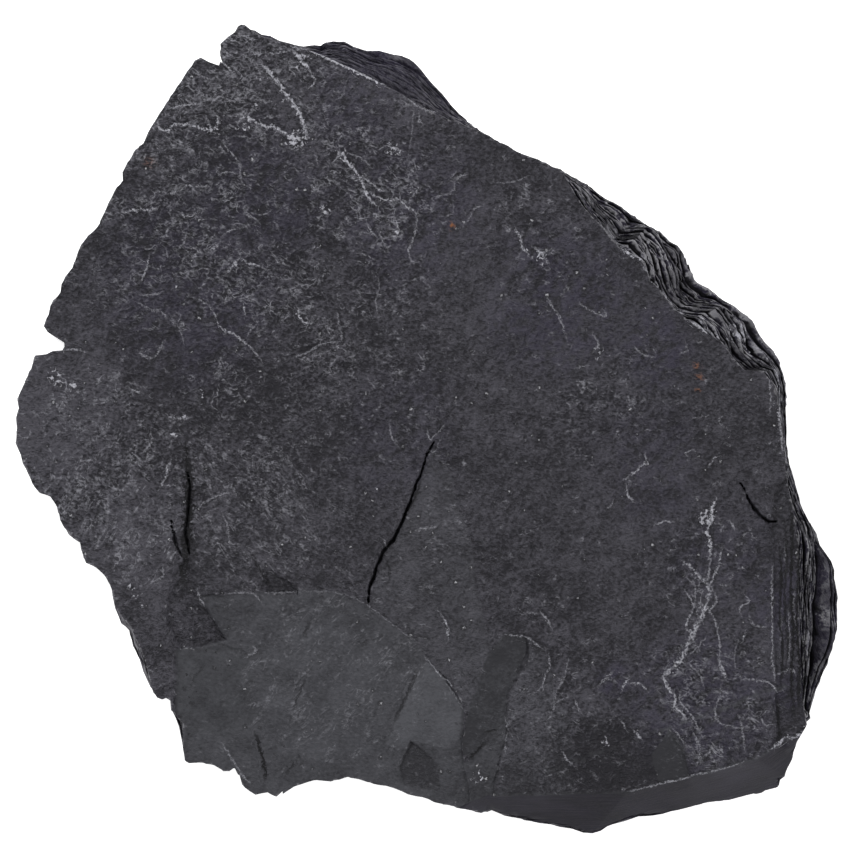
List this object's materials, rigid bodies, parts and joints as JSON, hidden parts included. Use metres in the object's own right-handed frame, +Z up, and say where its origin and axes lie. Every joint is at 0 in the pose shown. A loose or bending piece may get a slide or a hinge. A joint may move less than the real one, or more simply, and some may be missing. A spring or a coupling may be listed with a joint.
{
  "type": "slate slab",
  "caption": "Natural slab of split dark slate lying on its flat back face, with layered broken edges, flake scars and open cracks on its face.",
  "frame": {"origin": "middle of the bounding box in plan, on the surface that the slab lies on", "axes": "+Z up through the thickness, away from the flat back face; +X across the width; +Y along the length, towards the narrow end"},
  "size_m": [0.165, 0.1624, 0.016],
  "materials": {
    "slate": "dull split surface with a cool violet cast, fine pale veins and specks, smoother on fresh flake scars"
  },
  "bodies": {
    "root": {"slate_slab": "slate"}
  },
  "joints": []
}
